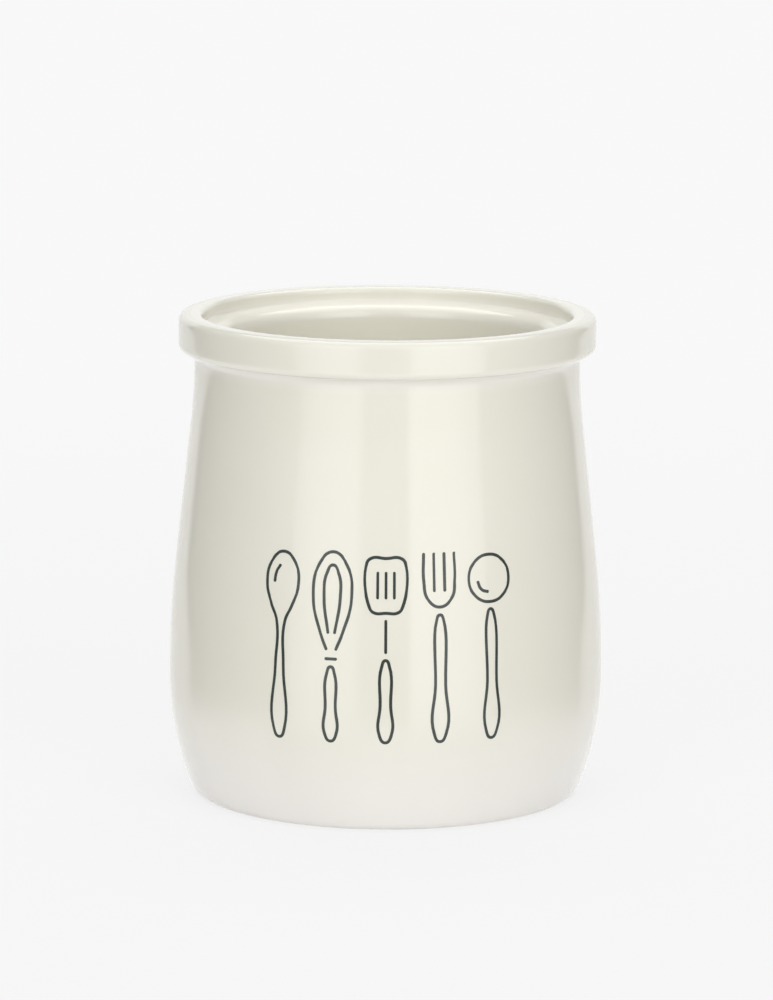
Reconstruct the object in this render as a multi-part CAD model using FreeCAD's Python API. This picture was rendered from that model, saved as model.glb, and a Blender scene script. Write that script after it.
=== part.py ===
import FreeCAD, Part
import math
import os

# Overall form of the glazed crock, in millimetres
overall_height = 150.0
belly_diameter = 135.0
belly_height = 37.0
foot_inset = 7.3
neck_inset = 7.85

# Collar and lip round the mouth
collar_projection = 4.9
collar_height = 11.4
lip_thickness = 7.5
recess_depth = 4.1
ledge_drop = 2.1

# Wall, floor and the underside inside the foot ring
wall_thickness = 8.4
floor_thickness = 7.5
inner_corner_rounding = 14.0
foot_rounding = 4.2
foot_ring_width = 6.5
foot_recess_depth = 2.0

# Coat of glaze over the fired clay
glaze_thickness = 0.4

# Shares of the wall's height from belly to neck: full belly curve below, flare into the neck above
belly_curve_share = 0.38
neck_flare_share = 0.19

# Roundings of the collar, as shares of how far it stands out or of the lip's thickness
collar_edge_share = 0.36
lip_outer_share = 0.25
lip_inner_share = 0.19

# Roundings of the ledge, as shares of its sloping width
recess_fillet_share = 0.18
nose_rounding_share = 0.6

# Roundings of the foot ring's inner side, as shares of the recess's depth
recess_corner_share = 0.5
ring_edge_share = 0.3

# Where the outside glaze stops, as a share of the foot rounding's turn from floor to wall
glaze_line_share = 0.5

# Rounds of refining the wall's lean, far more than it needs to settle
lean_rounds = 20

# Directions that a surface faces, seen in the half section
facing_out = 0.0
facing_up = math.pi / 2
facing_in = math.pi
facing_down = -math.pi / 2

# Radii and heights of the bare clay, under the glaze
clay_belly_radius = belly_diameter / 2 - glaze_thickness
clay_neck_radius = clay_belly_radius - neck_inset
clay_collar_radius = clay_neck_radius + collar_projection
clay_lip = lip_thickness - 2 * glaze_thickness
clay_wall = wall_thickness - 2 * glaze_thickness
clay_top = overall_height - glaze_thickness
mouth_radius = clay_collar_radius - clay_lip
throat_radius = clay_neck_radius - clay_wall
floor_height = foot_recess_depth + floor_thickness
collar_bottom = clay_top - collar_height + 2 * glaze_thickness

# The collar's rounded lower edge runs straight into the hollow fillet that leads to the neck
collar_edge = collar_projection * collar_edge_share
neck_fillet = collar_projection - collar_edge
neck_height = collar_bottom - neck_fillet

# The belly's lower curve is one arc that stands upright at the belly and would meet the floor at the foot
lower_curve_radius = (foot_inset ** 2 + belly_height ** 2) / (2 * foot_inset)
curve_centre = clay_belly_radius - lower_curve_radius


# A point of the half section: radius, height and the way that the surface faces there
def station(radius, height, facing):
    return (radius, height, facing)


def on_arc(centre_radius, centre_height, arc_radius, facing):
    return station(centre_radius + arc_radius * math.cos(facing),
                   centre_height + arc_radius * math.sin(facing), facing)


# The same stretch of surface, moved the given distance out of the clay
def raised(stations, distance):
    return [station(radius + distance * math.cos(facing), height + distance * math.sin(facing), facing)
            for radius, height, facing in stations]


# The other side of a wall that follows a stretch of surface
def far_side(stations, thickness):
    return [station(radius, height, facing + math.pi)
            for radius, height, facing in reversed(raised(stations, -thickness))]


# Circle inside the belly's lower curve that also rests on a level: its centre's radius, and its tangent direction
def corner_circle(curve_radius, level, rounding):
    rise = level + rounding - belly_height
    reach = math.sqrt((curve_radius - rounding) ** 2 - rise ** 2)
    return curve_centre + reach, math.atan2(rise, reach)


# Steepest lean of the wall between belly and neck, for a curve, a straight taper and a flare of given heights
def wall_lean():
    height = neck_height - belly_height
    curved = height * (belly_curve_share + neck_flare_share)
    straight = height - curved
    half_lean = 0.0
    for _ in range(lean_rounds):
        half_lean = neck_inset / (curved + 2 * straight / (1 - half_lean ** 2))
    return 2 * math.atan(half_lean)


# Outside of the foot, from the floor up to where the wall begins
def foot_edge():
    centre, wall_facing = corner_circle(lower_curve_radius, 0, foot_rounding)
    turn = wall_facing - facing_down
    facings = (facing_down, facing_down + turn * glaze_line_share, wall_facing)
    return [on_arc(centre, foot_rounding, foot_rounding, facing) for facing in facings]


# Outside of the belly and its taper up to the neck
def belly_to_neck():
    lean = wall_lean()
    height = neck_height - belly_height
    curve_rise = height * belly_curve_share
    flare_rise = height * neck_flare_share
    curve_inset = curve_rise * math.tan(lean / 2)
    flare_inset = flare_rise * math.tan(lean / 2)
    return [station(clay_belly_radius, belly_height, facing_out),
            station(clay_belly_radius - curve_inset, belly_height + curve_rise, lean),
            station(clay_neck_radius + flare_inset, neck_height - flare_rise, lean),
            station(clay_neck_radius, neck_height, facing_out)]


# Collar from the neck's fillet to the crest of the lip
def collar_outside():
    lip_edge = lip_thickness * lip_outer_share
    crest_radius = clay_collar_radius - clay_lip / 2
    return [station(clay_neck_radius + neck_fillet, collar_bottom, facing_down),
            station(clay_collar_radius, collar_bottom + collar_edge, facing_out),
            station(clay_collar_radius, clay_top - lip_edge, facing_out),
            station(clay_collar_radius - lip_edge, clay_top, facing_up),
            station(crest_radius, clay_top, facing_up)]


# Inside of the lip, the short recess below it, the sloping ledge and its rounded nose
def mouth_inside():
    lip_edge = lip_thickness * lip_inner_share
    ledge_width = mouth_radius - throat_radius
    slope = math.atan2(ledge_drop, ledge_width)
    slope_length = math.hypot(ledge_drop, ledge_width)
    corner_height = clay_top - recess_depth
    nose_height = corner_height - ledge_drop
    bend = math.tan((math.pi / 2 - slope) / 2)
    corner_run = slope_length * recess_fillet_share * bend
    nose_run = slope_length * nose_rounding_share * bend
    ledge_facing = facing_up + slope
    return [station(mouth_radius + lip_edge, clay_top, facing_up),
            station(mouth_radius, clay_top - lip_edge, facing_in),
            station(mouth_radius, corner_height + corner_run, facing_in),
            station(mouth_radius - corner_run * math.cos(slope),
                    corner_height - corner_run * math.sin(slope), ledge_facing),
            station(throat_radius + nose_run * math.cos(slope),
                    nose_height + nose_run * math.sin(slope), ledge_facing),
            station(throat_radius, nose_height - nose_run, facing_in)]


# Inner wall, which follows the outside at the wall's thickness, and the rounded corner into the floor
def inside_wall_and_floor():
    inner_curve_radius = lower_curve_radius - clay_wall
    centre, wall_facing = corner_circle(inner_curve_radius, floor_height, inner_corner_rounding)
    wall_foot = on_arc(curve_centre, belly_height, inner_curve_radius, wall_facing)
    return far_side(belly_to_neck(), clay_wall) + [
        station(wall_foot[0], wall_foot[1], facing_in + wall_facing),
        station(centre, floor_height, facing_up),
        station(0, floor_height, facing_up)]


# Underside from its middle to the foot ring's flat, which ends where the outside begins
def underside():
    foot_contact = foot_edge()[0]
    ring_inner = foot_contact[0] - foot_ring_width
    corner = foot_recess_depth * recess_corner_share
    edge = foot_recess_depth * ring_edge_share
    return [station(0, foot_recess_depth, facing_down),
            station(ring_inner - corner, foot_recess_depth, facing_down),
            station(ring_inner, foot_recess_depth - corner, -facing_in),
            station(ring_inner, edge, -facing_in),
            station(ring_inner + edge, 0, facing_down)]


def point(place):
    return FreeCAD.Vector(place[0], 0, place[1])


# Edge between two stations: straight where both face the same way, else the arc that fits both
def edge_between(start, end):
    first = point(start)
    last = point(end)
    turn = end[2] - start[2]
    if math.isclose(start[2], end[2], abs_tol=Part.Precision.angular()):
        return Part.LineSegment(first, last).toShape()
    chord = last - first
    faces_apart = FreeCAD.Vector(math.cos(end[2]) - math.cos(start[2]), 0,
                                 math.sin(end[2]) - math.sin(start[2]))
    bulge = chord.Length / 2 * math.tan(abs(turn) / 4)
    if chord.dot(faces_apart) < 0:
        bulge = -bulge
    middle_facing = (start[2] + end[2]) / 2
    outward = FreeCAD.Vector(math.cos(middle_facing), 0, math.sin(middle_facing))
    return Part.Arc(first, (first + last) / 2 + outward * bulge, last).toShape()


def edges_along(stations):
    return [edge_between(start, end) for start, end in zip(stations, stations[1:])]


def turned(edges):
    section = Part.Face(Part.Wire(Part.__sortEdges__(edges)))
    return section.revolve(FreeCAD.Vector(), FreeCAD.Vector(0, 0, 1), 360)


# Coat of even thickness lying on a stretch of clay, with square ends
def coat(stations):
    skin = raised(stations, glaze_thickness)
    ends = [Part.LineSegment(point(stations[place]), point(skin[place])).toShape() for place in (0, -1)]
    return turned(edges_along(stations) + ends + edges_along(skin))


def clay_body():
    outline = underside() + foot_edge() + belly_to_neck() + collar_outside()
    outline = outline + mouth_inside() + inside_wall_and_floor()
    axis = Part.LineSegment(point(outline[-1]), point(outline[0])).toShape()
    return turned(edges_along(outline) + [axis])


# From the glaze line above the dry foot, over belly and collar, to the crest of the lip
def outer_glaze():
    return coat(foot_edge()[1:] + belly_to_neck() + collar_outside())


# From the crest of the lip, over the recess and ledge, down the wall and across the floor
def inner_glaze():
    return coat(collar_outside()[-1:] + mouth_inside() + inside_wall_and_floor())


# On the recessed underside, clear of the ring that the crock stands on
def base_glaze():
    return coat(underside()[:3])


os.makedirs("parts", exist_ok=True)
nodes = {"clay_body": clay_body, "outer_glaze": outer_glaze, "inner_glaze": inner_glaze,
         "base_glaze": base_glaze}
for name, make in nodes.items():
    shape = make()
    print(name, "valid", shape.isValid(), "volume", round(shape.Volume), "mm3")
    shape.exportStep("parts/" + name + ".step")
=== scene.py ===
import math

import bpy
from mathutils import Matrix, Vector


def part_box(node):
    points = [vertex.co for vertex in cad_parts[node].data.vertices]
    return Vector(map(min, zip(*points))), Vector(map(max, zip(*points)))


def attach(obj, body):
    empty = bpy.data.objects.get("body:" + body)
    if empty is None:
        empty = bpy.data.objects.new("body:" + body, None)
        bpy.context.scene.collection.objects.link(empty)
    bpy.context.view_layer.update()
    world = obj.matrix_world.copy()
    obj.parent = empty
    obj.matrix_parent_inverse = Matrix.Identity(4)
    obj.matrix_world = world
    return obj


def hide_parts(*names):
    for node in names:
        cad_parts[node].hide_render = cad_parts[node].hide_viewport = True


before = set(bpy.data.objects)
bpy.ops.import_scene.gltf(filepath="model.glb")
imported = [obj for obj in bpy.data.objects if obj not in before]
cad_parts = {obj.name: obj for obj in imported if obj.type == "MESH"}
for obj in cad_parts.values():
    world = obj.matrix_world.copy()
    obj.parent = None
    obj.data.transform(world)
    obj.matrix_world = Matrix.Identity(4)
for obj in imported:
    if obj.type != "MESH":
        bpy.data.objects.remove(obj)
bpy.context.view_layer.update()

scene = bpy.context.scene
scene.view_settings.view_transform = "Standard"
print("frame loaded:", sorted(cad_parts))


# shader maths: a wrapped socket that adds nodes when it is reckoned with
class Wire:
    def __init__(self, tree, socket=None):
        self.tree = tree
        self.socket = socket

    def add(self, kind, settings=None, sockets=None, output=0):
        node = self.tree.nodes.new(kind)
        for name, value in (settings or {}).items():
            setattr(node, name, value)
        for name, value in (sockets or {}).items():
            if isinstance(value, Wire):
                self.tree.links.new(value.socket, node.inputs[name])
            else:
                node.inputs[name].default_value = value
        return Wire(self.tree, node.outputs[output]) if node.outputs else None

    def reckon(self, operation, first, second=0.0):
        return self.add("ShaderNodeMath", {"operation": operation}, {0: first, 1: second})

    def __add__(self, other):
        return self.reckon("ADD", self, other)

    def __radd__(self, other):
        return self.reckon("ADD", other, self)

    def __sub__(self, other):
        return self.reckon("SUBTRACT", self, other)

    def __rsub__(self, other):
        return self.reckon("SUBTRACT", other, self)

    def __mul__(self, other):
        return self.reckon("MULTIPLY", self, other)

    def __rmul__(self, other):
        return self.reckon("MULTIPLY", other, self)

    def __truediv__(self, other):
        return self.reckon("DIVIDE", self, other)

    def __rtruediv__(self, other):
        return self.reckon("DIVIDE", other, self)

    def __pow__(self, other):
        return self.reckon("POWER", self, other)

    def __abs__(self):
        return self.reckon("ABSOLUTE", self)


def newMaterial(name):
    material = bpy.data.materials.new(name)
    material.use_nodes = True
    material.node_tree.nodes.clear()
    return material, Wire(material.node_tree)


def closeMaterial(wire, shader):
    wire.add("ShaderNodeOutputMaterial", {}, {"Surface": shader})


def mixColours(wire, factor, first, second):
    colours = [value if isinstance(value, Wire) else (*value, 1.0) for value in (first, second)]
    return wire.add("ShaderNodeMix", {"data_type": "RGBA", "clamp_factor": True},
                    {0: factor, 6: colours[0], 7: colours[1]}, 2)


def grey(level):
    return (level, level, level, 1.0)


def noise(wire, place, scale, detail, roughness=0.5):
    return wire.add("ShaderNodeTexNoise", {},
                    {"Vector": place, "Scale": scale, "Detail": detail, "Roughness": roughness})


# 0 before the start, 1 past the end and smooth between them
def fade(value, start, end):
    return value.add("ShaderNodeMapRange", {"interpolation_type": "SMOOTHSTEP"},
                     {"Value": value, "From Min": start, "From Max": end})


# 1 at the middle of a band, falling smoothly to 0 at its half width
def band(value, middle, halfWidth):
    near = 1.0 - abs(value - middle) / halfWidth
    near = near.reckon("MAXIMUM", near, 0.0)
    return near * near * (3.0 - 2.0 * near)


# sizes of the crock in metres, glaze included, and shares of them
crock = {
    "bellyHeight": 0.037, "footInset": 0.0073, "neckInset": 0.00785,
    "collarProjection": 0.0049, "collarHeight": 0.0114, "lipThickness": 0.0075,
    "recessDepth": 0.0041, "ledgeDrop": 0.0021, "wallThickness": 0.0084,
    "floorThickness": 0.0075, "innerCorner": 0.014,
    "footRounding": 0.0042, "footRingWidth": 0.0065, "footRecess": 0.002,
    "glaze": 0.0004, "glazeLineShare": 0.5,
    "bellyCurveShare": 0.38, "neckFlareShare": 0.19, "leanRounds": 20,
    "collarEdgeShare": 0.36,
    "lipOuterShare": 0.25, "lipInnerShare": 0.19,
    "recessFilletShare": 0.18, "noseShare": 0.6, "recessCornerShare": 0.5,
}
facingOut, facingUp, facingIn, facingDown = 0.0, math.pi / 2, math.pi, -math.pi / 2

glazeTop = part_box("outer_glaze")[1]
clayBelly = glazeTop.x - crock["glaze"]
clayTop = glazeTop.z - crock["glaze"]
clayNeck = clayBelly - crock["neckInset"]
clayCollar = clayNeck + crock["collarProjection"]
clayWall = crock["wallThickness"] - 2 * crock["glaze"]
mouthRadius = clayCollar - crock["lipThickness"] + 2 * crock["glaze"]
throatRadius = clayNeck - clayWall
floorHeight = crock["footRecess"] + crock["floorThickness"]
collarBottom = clayTop - crock["collarHeight"] + 2 * crock["glaze"]
collarEdge = crock["collarProjection"] * crock["collarEdgeShare"]
neckFillet = crock["collarProjection"] - collarEdge
neckHeight = collarBottom - neckFillet
lowerCurve = (crock["footInset"] ** 2 + crock["bellyHeight"] ** 2) / (2 * crock["footInset"])
curveCentre = clayBelly - lowerCurve


# half section as (radius, height, facing) stations, each joined to the next by a line or an arc
def onArc(centre, height, radius, facing):
    return (centre + radius * math.cos(facing), height + radius * math.sin(facing), facing)


def cornerCircle(curve, level, rounding):
    rise = level + rounding - crock["bellyHeight"]
    reach = math.sqrt((curve - rounding) ** 2 - rise ** 2)
    return curveCentre + reach, math.atan2(rise, reach)


def footEdge():
    rounding = crock["footRounding"]
    centre, wallFacing = cornerCircle(lowerCurve, 0, rounding)
    lineFacing = facingDown + (wallFacing - facingDown) * crock["glazeLineShare"]
    return [onArc(centre, rounding, rounding, facing) for facing in (lineFacing, wallFacing)]


def bellyToNeck():
    height = neckHeight - crock["bellyHeight"]
    curveRise = height * crock["bellyCurveShare"]
    flareRise = height * crock["neckFlareShare"]
    straight = height - curveRise - flareRise
    halfLean = 0.0
    for _ in range(crock["leanRounds"]):
        halfLean = crock["neckInset"] / (curveRise + flareRise + 2 * straight / (1 - halfLean ** 2))
    lean = 2 * math.atan(halfLean)
    return [(clayBelly, crock["bellyHeight"], facingOut),
            (clayBelly - curveRise * halfLean, crock["bellyHeight"] + curveRise, lean),
            (clayNeck + flareRise * halfLean, neckHeight - flareRise, lean),
            (clayNeck, neckHeight, facingOut)]


def collarOutside():
    lipEdge = crock["lipThickness"] * crock["lipOuterShare"]
    return [(clayNeck + neckFillet, collarBottom, facingDown),
            (clayCollar, collarBottom + collarEdge, facingOut),
            (clayCollar, clayTop - lipEdge, facingOut),
            (clayCollar - lipEdge, clayTop, facingUp),
            ((clayCollar + mouthRadius) / 2, clayTop, facingUp)]


def mouthInside():
    lipEdge = crock["lipThickness"] * crock["lipInnerShare"]
    width = mouthRadius - throatRadius
    slope = math.atan2(crock["ledgeDrop"], width)
    length = math.hypot(crock["ledgeDrop"], width)
    corner = clayTop - crock["recessDepth"]
    nose = corner - crock["ledgeDrop"]
    bend = math.tan((math.pi / 2 - slope) / 2)
    cornerRun = length * crock["recessFilletShare"] * bend
    noseRun = length * crock["noseShare"] * bend
    inward, down = math.cos(slope), math.sin(slope)
    return [(mouthRadius + lipEdge, clayTop, facingUp),
            (mouthRadius, clayTop - lipEdge, facingIn),
            (mouthRadius, corner + cornerRun, facingIn),
            (mouthRadius - cornerRun * inward, corner - cornerRun * down, facingUp + slope),
            (throatRadius + noseRun * inward, nose + noseRun * down, facingUp + slope),
            (throatRadius, nose - noseRun, facingIn)]


def insideWall():
    inner = lowerCurve - clayWall
    centre, wallFacing = cornerCircle(inner, floorHeight, crock["innerCorner"])
    wallFoot = onArc(curveCentre, crock["bellyHeight"], inner, wallFacing)
    farSide = [(r - clayWall * math.cos(f), z - clayWall * math.sin(f), f + math.pi)
               for r, z, f in reversed(bellyToNeck())]
    return farSide + [(wallFoot[0], wallFoot[1], facingIn + wallFacing),
                      (centre, floorHeight, facingUp), (0.0, floorHeight, facingUp)]


def underside():
    ringInner = cornerCircle(lowerCurve, 0, crock["footRounding"])[0] - crock["footRingWidth"]
    corner = crock["footRecess"] * crock["recessCornerShare"]
    return [(0.0, crock["footRecess"], facingDown),
            (ringInner - corner, crock["footRecess"], facingDown),
            (ringInner, crock["footRecess"] - corner, -facingIn)]


def raised(stations, distance):
    return [(r + distance * math.cos(f), z + distance * math.sin(f), f) for r, z, f in stations]


# how finely a section is walked along and turned; the clay side of a coat is walked more coarsely
wheel = {"steps": 192, "spacing": 0.0016, "claySpacing": 3 * 0.0016, "turnStep": math.radians(9),
         "straight": 1e-6, "merge": 1e-6, "smoothAngle": math.radians(50), "beadSteps": 6}


def outwardAt(facing):
    return Vector((math.cos(facing), math.sin(facing)))


# station at a share of the way between two others, on their line or arc
def partWay(start, end, share):
    first, last = Vector(start[:2]), Vector(end[:2])
    turn = end[2] - start[2]
    facing = start[2] + turn * share
    place = first.lerp(last, share)
    if abs(turn) > wheel["straight"]:
        outward = outwardAt(start[2])
        radius = (last - first).length / (2 * math.sin(abs(turn) / 2))
        if (last - first).dot(outwardAt(end[2]) - outward) < 0:
            radius = -radius  # hollow stretch
        place = first + radius * (outwardAt(facing) - outward)
    return (place.x, place.y, facing)


# stations close together on tight arcs and wider apart on long gentle stretches
def walkAlong(stations, spacing):
    walk = []
    for start, end in zip(stations, stations[1:]):
        length = math.dist(start[:2], end[:2])
        turn = abs(end[2] - start[2])
        count = max(1, math.ceil(length / spacing), math.ceil(turn / wheel["turnStep"]))
        walk += [partWay(start, end, step / count) for step in range(count)]
    return walk + stations[-1:]


def startPiece():
    if bpy.context.object and bpy.context.object.mode != "OBJECT":
        bpy.ops.object.mode_set(mode="OBJECT")
    bpy.ops.object.select_all(action="DESELECT")


# draws a half section vertex by vertex and spins it round the crock's axis
def turnOnWheel(name, section):
    startPiece()
    bpy.ops.mesh.primitive_plane_add(size=crock["glaze"], location=(0, 0, 0))
    piece = bpy.context.object
    piece.name = name
    bpy.ops.object.mode_set(mode="EDIT")
    bpy.ops.mesh.select_all(action="SELECT")
    bpy.ops.mesh.merge(type="CENTER")
    bpy.ops.transform.translate(value=(section[0][0], 0, section[0][1]))
    for before, after in zip(section, section[1:]):
        step = (after[0] - before[0], 0, after[1] - before[1])
        bpy.ops.mesh.extrude_region_move(TRANSFORM_OT_translate={"value": step})
    bpy.ops.mesh.select_all(action="SELECT")
    bpy.ops.mesh.remove_doubles(threshold=wheel["merge"])
    bpy.ops.mesh.spin(steps=wheel["steps"], angle=2 * math.pi, center=(0, 0, 0), axis=(0, 0, 1))
    bpy.ops.mesh.select_all(action="SELECT")
    bpy.ops.mesh.remove_doubles(threshold=wheel["merge"])
    bpy.ops.mesh.normals_make_consistent(inside=False)
    bpy.ops.object.mode_set(mode="OBJECT")
    bpy.ops.object.shade_smooth_by_angle(angle=wheel["smoothAngle"])
    return piece


# top of a coat of glaze; where it stops on bare clay its edge swells up from nothing in a round bead
def glazeSkin(stations, beaded):
    if not beaded:
        return raised(walkAlong(stations, wheel["spacing"]), crock["glaze"])
    length = math.dist(stations[0][:2], stations[1][:2])
    skin = []
    for step in range(wheel["beadSteps"]):
        climb = math.pi / 2 * step / wheel["beadSteps"]
        under = partWay(stations[0], stations[1], crock["glaze"] * (1 - math.cos(climb)) / length)
        skin += raised([under], crock["glaze"] * math.sin(climb))
    rest = [partWay(stations[0], stations[1], crock["glaze"] / length)] + stations[1:]
    return skin + raised(walkAlong(rest, wheel["spacing"]), crock["glaze"])


# half section of a coat: out along its skin and back along the clay
def coatSection(stations, beaded):
    return glazeSkin(stations, beaded) + list(reversed(walkAlong(stations, wheel["claySpacing"])))


def outsideGlaze():
    section = coatSection(footEdge() + bellyToNeck() + collarOutside(), True)
    return turnOnWheel("glaze_outside", section + section[:1])


def insideGlaze():
    stations = collarOutside()[-1:] + mouthInside() + insideWall()
    section = coatSection(list(reversed(stations)), False)
    return turnOnWheel("glaze_inside", section)


def undersideGlaze():
    section = coatSection(list(reversed(underside())), True)
    turning = len(section) - len(walkAlong(underside(), wheel["claySpacing"]))
    fromAxis = list(reversed(section[:turning])) + list(reversed(section[turning:]))
    return turnOnWheel("glaze_underside", fromAxis)


# cream glaze: paler over sharp edges where less glaze covers them, which also paints highlights there;
# paler and cooler where the glaze lies thick, which also paints fill light under the collar and painted
# bounce light towards the base
# each edge and pool has a height and half width in metres and its share of the change
# each noise has a scale and a detail
glazeTone = {"thinGlazeAndHighlight": (0.86, 0.85, 0.78), "mottle": 0.3, "gloss": 0.07, "glossChange": 0.04, "ior": 1.55,
             "cloud": (22.0, 3.0), "drift": (90.0, 2.0), "peel": (420.0, 2.0),
             "driftHeight": 0.0006, "peelStrength": 0.12, "peelHeight": 0.00005}
noseFoot = mouthInside()[-1][1]
recessFoot = mouthInside()[2][1]
glazeCoats = {
    "outside_glaze": {"cream": (0.80, 0.78, 0.68), "gatheredAndFill": (0.89, 0.865, 0.835),
                      # painted highlight: paler over the lip crest and the collar's lower edge
                      "edges": ((clayTop, 0.0013, 0.2), (collarBottom + collarEdge / 2, 0.0012, 0.1)),
                      # painted fill light in the crease under the collar, and painted bounce light from the
                      # floor, paler and cooler towards the base
                      "poolsAndFill": ((neckHeight + 0.4 * neckFillet, 0.0045, 0.5), (0.0, 0.042, 0.9))},
    "liner_glaze": {"cream": (0.88, 0.86, 0.755), "gatheredAndFill": (0.93, 0.91, 0.83),
                    # paler over the lip crest and the nose: partly less glaze, partly painted highlight
                    "edges": ((clayTop, 0.0008, 0.2), (noseFoot + 0.001, 0.0014, 0.4)),
                    # paler in the recess corner and the inner floor corner: partly glaze lying thick,
                    # partly painted fill light
                    "poolsAndFill": ((recessFoot, 0.0016, 0.9), (floorHeight + 0.0015, 0.004, 0.9))},
    "underside_glaze": {"cream": (0.80, 0.78, 0.68), "gatheredAndFill": (0.88, 0.855, 0.825),
                        # paler in the underside recess corner: partly glaze lying thick, partly painted
                        # fill light
                        "edges": (), "poolsAndFill": ((crock["footRecess"] / 2, 0.0009, 0.9),)},
}


def glazeMaterial(name):
    coat = glazeCoats[name]
    material, wire = newMaterial(name)
    place = wire.add("ShaderNodeTexCoord", {}, {}, "Object")
    height = wire.add("ShaderNodeSeparateXYZ", {}, {"Vector": place}, "Z")
    cloud, drift, peel = [noise(wire, place, *glazeTone[kind]) for kind in ("cloud", "drift", "peel")]
    level = height + glazeTone["driftHeight"] * (drift - 0.5)  # so that no band is quite level
    # paler over edges: partly less glaze, partly painted highlight
    thinGlazeAndHighlight = sum(share * band(level, middle, halfWidth) for middle, halfWidth, share in coat["edges"])
    # painted fill and bounce light, together with glaze lying thick in hollows
    pooledAndFill = sum(share * band(level, middle, halfWidth) for middle, halfWidth, share in coat["poolsAndFill"])
    tone = mixColours(wire, glazeTone["mottle"] * cloud + thinGlazeAndHighlight, coat["cream"], glazeTone["thinGlazeAndHighlight"])
    tone = mixColours(wire, pooledAndFill, tone, coat["gatheredAndFill"])
    rough = glazeTone["gloss"] + glazeTone["glossChange"] * cloud
    bump = wire.add("ShaderNodeBump", {}, {"Strength": glazeTone["peelStrength"],
                                           "Distance": glazeTone["peelHeight"], "Height": peel})
    shader = wire.add("ShaderNodeBsdfPrincipled", {},
                      {"Base Color": tone, "Roughness": rough, "IOR": glazeTone["ior"], "Normal": bump})
    closeMaterial(wire, shader)
    return material


# bare clay of the foot: fine dry grain, a few darker grits and grey scuffs from standing
clayTone = {"dark": (0.60, 0.55, 0.46), "light": (0.74, 0.70, 0.61), "grit": (0.42, 0.36, 0.28),
            "scuff": (0.47, 0.45, 0.42), "scuffShare": 0.6, "scuffTop": 0.0006, "scuffEdge": (0.5, 0.66),
            "grainNoise": (1400.0, 4.0), "patchNoise": (120.0, 5.0, 0.7), "gritScale": 750.0,
            "gritEdge": (0.12, 0.2), "gritShare": 0.5, "gritDepth": 0.5, "rough": 0.82, "scuffPolish": 0.2,
            "bumpStrength": 0.45, "bumpHeight": 0.00012}


def clayMaterial():
    material, wire = newMaterial("bare_clay")
    place = wire.add("ShaderNodeTexCoord", {}, {}, "Object")
    height = wire.add("ShaderNodeSeparateXYZ", {}, {"Vector": place}, "Z")
    grain = noise(wire, place, *clayTone["grainNoise"])
    patch = noise(wire, place, *clayTone["patchNoise"])
    gritNear = wire.add("ShaderNodeTexVoronoi", {}, {"Vector": place, "Scale": clayTone["gritScale"]})
    grit = 1.0 - fade(gritNear, *clayTone["gritEdge"])
    scuff = fade(patch, *clayTone["scuffEdge"]) * (1.0 - fade(height, 0.0, clayTone["scuffTop"]))
    tone = mixColours(wire, grain, clayTone["dark"], clayTone["light"])
    tone = mixColours(wire, clayTone["gritShare"] * grit, tone, clayTone["grit"])
    tone = mixColours(wire, clayTone["scuffShare"] * scuff, tone, clayTone["scuff"])
    rough = clayTone["rough"] - clayTone["scuffPolish"] * scuff
    relief = grain - clayTone["gritDepth"] * grit
    bump = wire.add("ShaderNodeBump", {}, {"Strength": clayTone["bumpStrength"],
                                           "Distance": clayTone["bumpHeight"], "Height": relief})
    shader = wire.add("ShaderNodeBsdfPrincipled", {},
                      {"Base Color": tone, "Roughness": rough, "Normal": bump})
    closeMaterial(wire, shader)
    return material


# print on the front: a row of kitchen tools in one even line, drawn in millimetres
millimetre = 0.001
drawing = {"line": 0.95, "pitch": 17.0, "lowest": 29.0, "smoothness": 8, "endSteps": 5, "endShare": 0.49,
           "wrapRadius": 0.0685, "height": 0.00002, "thickness": 0.00006, "smoothAngle": math.radians(40)}


# right half of an outline from top to bottom, and the same again on the left
def mirrored(side):
    return side + [(-x, z) for x, z in reversed(side) if x]


def grip(top):
    return mirrored([(0, top), (1.2, top - 2.0), (1.6, 0.45 * top), (1.9, 2.6), (0, 0)])


# each tool as its closed outlines and its open lines
def spoonLines():
    outline = mirrored([(0, 57), (4.4, 53.6), (5.6, 47), (3.6, 40.6),
                        (1.5, 36), (1.4, 22), (1.9, 3), (0, 0)])
    glint = [(-2.9, 47.4), (-2.4, 50.6), (-0.9, 53)]
    return [outline], [glint]


def whiskLines():
    balloon = [(-1.4, 28), (-3.6, 33.5), (-6.2, 44), (-4.6, 54), (0, 58),
               (4.6, 54), (6.2, 44), (3.6, 33.5), (1.4, 28)]
    wire = [(-1.0, 33), (-2.6, 44), (-1.9, 51.6), (0, 54), (1.9, 51.6), (2.6, 44), (1.0, 33)]
    ferrule = [(-2.0, 25.4), (2.0, 25.4)]
    return [grip(23)], [balloon, wire, ferrule]


def turnerLines():
    blade = mirrored([(0, 56.4), (4.8, 56.4), (6.1, 55), (5.2, 41.6), (3.9, 40), (0, 39.8)])
    slots = [[(x, 44), (x, 52.4)] for x in (-2.6, 0, 2.6)]
    neck = [(0, 37.8), (0, 27.4)]
    return [blade, grip(25.4)], slots + [neck]


def forkLines():
    head = [(-5, 58), (-5, 49), (-3.9, 44), (0, 41.4), (3.9, 44), (5, 49), (5, 58)]
    tines = [[(x, 58), (x, 46)] for x in (-1.7, 1.7)]
    return [grip(39)], [head] + tines


def ladleLines():
    bowl = mirrored([(0, 56.4), (5.1, 54.3), (7.2, 49.2), (5.1, 44.1), (0, 42)])
    glint = [(-4.2, 48.6), (-3.0, 46), (-0.4, 45)]
    return [bowl, grip(39.8)], [glint]


# short line that is swept along each stroke
def drawNib():
    startPiece()
    bpy.ops.curve.primitive_bezier_curve_add()
    nib = bpy.context.object
    for knot, side in zip(nib.data.splines[0].bezier_points, (-0.5, 0.5)):
        knot.handle_left_type = knot.handle_right_type = "VECTOR"
        knot.co = (side * drawing["line"] * millimetre, 0, 0)
    nib.data.resolution_u = 1
    return nib


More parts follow.
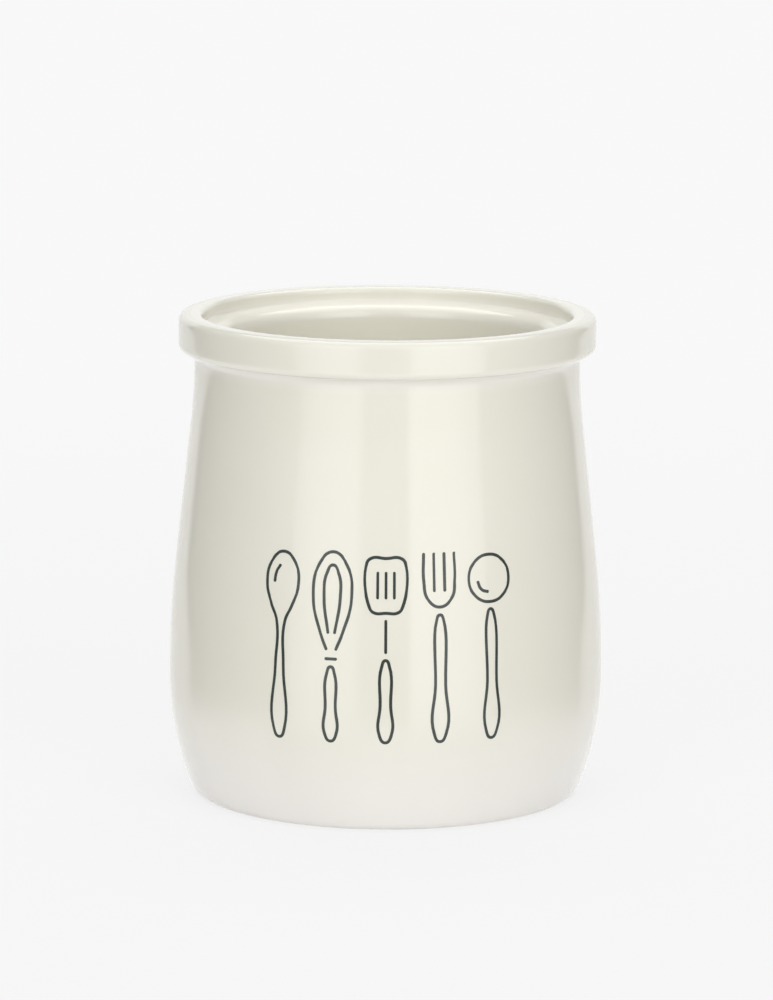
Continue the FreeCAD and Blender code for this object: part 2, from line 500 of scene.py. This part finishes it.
def drawStroke(points, closed, nib, shift):
    startPiece()
    bpy.ops.curve.primitive_bezier_curve_add()
    stroke = bpy.context.object
    stroke.data.dimensions = "2D"
    stroke.data.fill_mode = "NONE"
    stroke.data.resolution_u = drawing["smoothness"]
    line = stroke.data.splines[0]
    line.bezier_points.add(len(points) - len(line.bezier_points))
    for knot, (x, height) in zip(line.bezier_points, points):
        knot.handle_left_type = knot.handle_right_type = "AUTO"
        knot.co = ((x + shift) * millimetre, (height + drawing["lowest"]) * millimetre, 0)
    line.use_cyclic_u = closed
    stroke.data.bevel_mode = "OBJECT"
    stroke.data.bevel_object = nib
    bpy.ops.object.convert(target="MESH")
    return bpy.context.object


# the corners of open strokes are the points with only two edges
def roundStrokeEnds(piece):
    edgeCounts = [0] * len(piece.data.vertices)
    for edge in piece.data.edges:
        for index in edge.vertices:
            edgeCounts[index] += 1
    bpy.ops.object.mode_set(mode="EDIT")
    bpy.ops.mesh.select_mode(type="VERT")
    bpy.ops.mesh.select_all(action="DESELECT")
    bpy.ops.object.mode_set(mode="OBJECT")
    for vertex, count in zip(piece.data.vertices, edgeCounts):
        vertex.select = count == 2
    bpy.ops.object.mode_set(mode="EDIT")
    bpy.ops.mesh.bevel(offset=drawing["endShare"] * drawing["line"] * millimetre,
                       segments=drawing["endSteps"], affect="VERTICES")
    bpy.ops.object.mode_set(mode="OBJECT")


def applyModifier(piece, kind, settings):
    modifier = piece.modifiers.new(kind.lower(), kind)
    for name, value in settings.items():
        setattr(modifier, name, value)
    bpy.context.view_layer.objects.active = piece
    bpy.ops.object.modifier_apply(modifier=modifier.name)


def frontPrint(carrier):
    nib = drawNib()
    tools = (spoonLines, whiskLines, turnerLines, forkLines, ladleLines)
    strokes = []
    for number, tool in enumerate(tools):
        shift = (number - (len(tools) - 1) / 2) * drawing["pitch"]
        outlines, lines = tool()
        strokes += [drawStroke(points, True, nib, shift) for points in outlines]
        strokes += [drawStroke(points, False, nib, shift) for points in lines]
    startPiece()
    for stroke in strokes:
        stroke.select_set(True)
    piece = strokes[0]
    bpy.context.view_layer.objects.active = piece
    bpy.ops.object.join()
    piece.name = "front_print"
    bpy.data.objects.remove(nib)
    bpy.ops.object.mode_set(mode="EDIT")
    bpy.ops.mesh.select_all(action="SELECT")
    bpy.ops.mesh.remove_doubles(threshold=wheel["merge"])
    bpy.ops.object.mode_set(mode="OBJECT")
    roundStrokeEnds(piece)
    piece.rotation_euler.x = math.pi / 2
    bpy.ops.object.transform_apply(location=True, rotation=True, scale=True)
    applyModifier(piece, "SIMPLE_DEFORM", {"deform_method": "BEND", "deform_axis": "Z",
                                           "angle": piece.dimensions.x / drawing["wrapRadius"]})
    piece.location.y = -drawing["wrapRadius"]
    bpy.ops.object.transform_apply(location=True, rotation=True, scale=True)
    applyModifier(piece, "SHRINKWRAP", {"target": carrier, "wrap_method": "NEAREST_SURFACEPOINT",
                                        "wrap_mode": "ABOVE_SURFACE", "offset": drawing["height"]})
    applyModifier(piece, "SOLIDIFY", {"thickness": drawing["thickness"], "offset": 0.0})
    bpy.ops.object.mode_set(mode="EDIT")
    bpy.ops.mesh.select_all(action="SELECT")
    bpy.ops.mesh.normals_make_consistent(inside=False)
    bpy.ops.object.mode_set(mode="OBJECT")
    bpy.ops.object.shade_smooth_by_angle(angle=drawing["smoothAngle"])
    return piece


# fired ink, a little uneven in colour and gloss
inkTone = {"dark": (0.030, 0.040, 0.036), "light": (0.065, 0.075, 0.068), "noise": (260.0, 4.0),
           "gloss": 0.08, "glossChange": 0.06, "ior": 1.5}


def printMaterial():
    material, wire = newMaterial("printed_line")
    place = wire.add("ShaderNodeTexCoord", {}, {}, "Object")
    ink = noise(wire, place, *inkTone["noise"])
    tone = mixColours(wire, ink, inkTone["dark"], inkTone["light"])
    rough = inkTone["gloss"] + inkTone["glossChange"] * ink
    shader = wire.add("ShaderNodeBsdfPrincipled", {},
                      {"Base Color": tone, "Roughness": rough, "IOR": inkTone["ior"]})
    closeMaterial(wire, shader)
    return material


outside = outsideGlaze()
inside = insideGlaze()
under = undersideGlaze()
toolPrint = frontPrint(outside)
for piece, node, slot in ((outside, "outer_glaze", "outside_glaze"), (inside, "inner_glaze", "liner_glaze"),
                          (under, "base_glaze", "underside_glaze")):
    piece.data.materials.clear()
    piece.data.materials.append(glazeMaterial(slot))
    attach(piece, "root")
    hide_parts(node)
    print("turned", piece.name, len(piece.data.polygons), "faces")

toolPrint.data.materials.clear()
toolPrint.data.materials.append(printMaterial())
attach(toolPrint, "root")
print("printed", toolPrint.name, len(toolPrint.data.polygons), "faces")

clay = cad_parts["clay_body"]
clay.data.materials.clear()
clay.data.materials.append(clayMaterial())
print("finished", clay.name)

# camera at the photograph's viewing angle
cameraPlace = {"distance": 1.6, "elevation": math.radians(10.81), "middle": 0.075, "aim": 0.0911,
               "lens": 184.85, "sensor": 36.0, "roll": math.radians(0.31)}
bpy.ops.object.camera_add()
camera = bpy.context.object
camera.data.lens = cameraPlace["lens"]
camera.data.sensor_width = cameraPlace["sensor"]
camera.location = (0, -cameraPlace["distance"] * math.cos(cameraPlace["elevation"]),
                   cameraPlace["middle"] + cameraPlace["distance"] * math.sin(cameraPlace["elevation"]))
look = Vector((0, 0, cameraPlace["aim"])) - camera.location
camera.rotation_euler = look.to_track_quat("-Z", "Y").to_euler()
camera.rotation_euler.rotate_axis("Z", cameraPlace["roll"])
scene.camera = camera
print("camera at", tuple(camera.location))

# pale floor: the camera sees an even pale ground that keeps the shadow near the crock
floorTone = {"size": 14, "seen": 0.94, "bounce": 0.9, "shadowShare": 0.15, "shadowReach": (0.2, 0.9)}


def floorMaterial():
    material, wire = newMaterial("pale_floor")
    place = wire.add("ShaderNodeTexCoord", {}, {}, "Object")
    reach = wire.add("ShaderNodeVectorMath", {"operation": "LENGTH"}, {0: place}, "Value")
    shadow = floorTone["shadowShare"] * (1.0 - fade(reach, *floorTone["shadowReach"]))
    seen = wire.add("ShaderNodeLightPath", {}, {}, "Is Camera Ray")
    diffuse = wire.add("ShaderNodeBsdfDiffuse", {}, {"Color": grey(floorTone["bounce"])})
    glow = wire.add("ShaderNodeEmission", {}, {"Color": grey(floorTone["seen"]), "Strength": 1.0})
    even = seen * (1.0 - shadow)
    closeMaterial(wire, wire.add("ShaderNodeMixShader", {}, {0: even, 1: diffuse, 2: glow}))
    return material


startPiece()
bpy.ops.mesh.primitive_plane_add(size=floorTone["size"])
floor = bpy.context.object
floor.name = "studio_floor"
floor.data.materials.append(floorMaterial())
floor.visible_glossy = False  # reflections take the table's light from the room
print("floor laid")


# a flat lamp that shines along its own -Z, with the places across and along it from 0 to 1
def softLamp(name, width, length, place, turn):
    bpy.ops.object.light_add(type="AREA", location=place, rotation=turn)
    lamp = bpy.context.object
    lamp.name = name
    lamp.visible_camera = False
    lamp.data.shape = "RECTANGLE"
    lamp.data.size = width
    lamp.data.size_y = length
    lamp.data.energy = math.pi * width * length
    lamp.data.use_nodes = True
    lamp.data.node_tree.nodes.clear()
    wire = Wire(lamp.data.node_tree)
    spot = wire.add("ShaderNodeNewGeometry", {}, {}, "Parametric")
    across, along = [wire.add("ShaderNodeSeparateXYZ", {}, {"Vector": spot}, axis) for axis in "XY"]
    return wire, across, along


def lightUp(wire, radiance):
    shader = wire.add("ShaderNodeEmission", {}, {"Color": radiance, "Strength": 1.0})
    wire.add("ShaderNodeOutputLight", {}, {"Surface": shader})


# two tall soft boxes either side of the camera, with a faded foot
# edges in degrees to the side of the camera; soft and build are shares of the width, for each end
softBoxes = {"distance": 1.1, "bottom": -0.42, "top": 1.3, "fadeIn": (0.0, 0.19), "sharpShare": 0.65}
boxSides = {
    "left_box": {"edges": (-51.2, -10.8), "soft": (0.05, 0.2), "build": (0.35, 0.2), "radiance": 1.31},
    "right_box": {"edges": (10.3, 55.0), "soft": (0.11, 0.05), "build": (0.11, 0.4), "radiance": 1.57},
}


# a sharp start and then a slow build-up
def boxEdge(distance, soft, build):
    sharp = softBoxes["sharpShare"]
    return sharp * fade(distance, 0.0, soft) + (1 - sharp) * fade(distance, 0.0, build)


def softBox(name):
    side = boxSides[name]
    first, last = [math.radians(edge) for edge in side["edges"]]
    middle = (first + last) / 2
    width = 2 * softBoxes["distance"] * math.tan((last - first) / 2)
    height = softBoxes["top"] - softBoxes["bottom"]
    place = (softBoxes["distance"] * math.sin(middle), -softBoxes["distance"] * math.cos(middle),
             (softBoxes["top"] + softBoxes["bottom"]) / 2)
    wire, across, along = softLamp(name, width, height, place, (math.pi / 2, 0, middle))
    glow = boxEdge(across, side["soft"][0], side["build"][0])
    glow = glow * boxEdge(1.0 - across, side["soft"][1], side["build"][1])
    lightUp(wire, side["radiance"] * glow * fade(along, *softBoxes["fadeIn"]))


# wide soft light overhead, stronger towards the back
topLight = {"width": 2.0, "depth": 2.4, "height": 1.6, "back": 0.1,
            "front": 0.45, "rear": 2.2, "rise": (0.2, 0.8)}


def overheadLight():
    place = (0, topLight["back"], topLight["height"])
    wire, _, along = softLamp("overhead_light", topLight["width"], topLight["depth"], place, (0, 0, 0))
    gain = topLight["rear"] - topLight["front"]
    lightUp(wire, topLight["front"] + gain * fade(along, *topLight["rise"]))


for name in boxSides:
    softBox(name)
overheadLight()

# dim room, lighter in front, with a white backdrop that widens at its foot and a white table below
# the table's light differs by side and between far and near, and only reflections see all of it
roomTone = {"room": 0.14, "front": 0.49, "backdrop": 0.82, "under": 0.3}
tableFar = {"left": 1.35, "right": 1.05, "front": 0.8, "back": 1.1}
tableNear = {"left": 1.3, "right": 1.1, "front": 1.05, "back": 1.1}
roomEdges = {"front": (-0.5, -0.2), "frontFoot": (-0.05, 0.12), "frontTop": (0.75, 0.9),
             "backdrop": (0.72, 0.84), "backdropFoot": (0.09, 0.19), "backdropSpread": 0.18,
             "backdropTop": (0.34, 0.5), "right": (-0.5, 0.5), "table": (0.15, 0.34), "near": (0.5, 0.9)}


def tableGlow(tones, toRight, inFront, behind):
    glow = tones["left"] + (tones["right"] - tones["left"]) * toRight
    glow = glow + (tones["front"] - glow) * inFront
    return glow + (tones["back"] - glow) * behind


def roomLight(wire):
    way = wire.add("ShaderNodeTexCoord", {}, {}, "Generated")
    aside, back, rise = [wire.add("ShaderNodeSeparateXYZ", {}, {"Vector": way}, axis) for axis in "XYZ"]
    fall = 0.0 - rise
    level = (1.0 - rise * rise) ** 0.5
    toRight = fade(aside / level, *roomEdges["right"])
    inFront = 1.0 - fade(back / level, *roomEdges["front"])
    spread = roomEdges["backdropSpread"] * fade(fall, *roomEdges["backdropFoot"])
    behind = fade(back / level + spread, *roomEdges["backdrop"])
    front = roomTone["front"] * fade(rise, *roomEdges["frontFoot"])
    front = front * (1.0 - fade(rise, *roomEdges["frontTop"]))
    backdrop = roomTone["backdrop"] * (1.0 - fade(rise, *roomEdges["backdropTop"]))
    above = roomTone["room"] + inFront * front + behind * backdrop
    far, near = [tableGlow(tones, toRight, inFront, behind) for tones in (tableFar, tableNear)]
    table = far + (near - far) * fade(fall, *roomEdges["near"])
    reflected = wire.add("ShaderNodeLightPath", {}, {}, "Is Glossy Ray")
    below = roomTone["under"] + (table - roomTone["under"]) * reflected
    return above + (below - above) * fade(fall, *roomEdges["table"])


# the camera sees a plain pale ground instead of the room
def studioRoom():
    world = bpy.data.worlds.new("studio_room")
    world.use_nodes = True
    world.node_tree.nodes.clear()
    scene.world = world
    wire = Wire(world.node_tree)
    lit = wire.add("ShaderNodeBackground", {}, {"Color": roomLight(wire), "Strength": 1.0})
    plain = wire.add("ShaderNodeBackground", {}, {"Color": grey(floorTone["seen"]), "Strength": 1.0})
    seen = wire.add("ShaderNodeLightPath", {}, {}, "Is Camera Ray")
    surface = wire.add("ShaderNodeMixShader", {}, {0: seen, 1: lit, 2: plain})
    wire.add("ShaderNodeOutputWorld", {}, {"Surface": surface})


studioRoom()
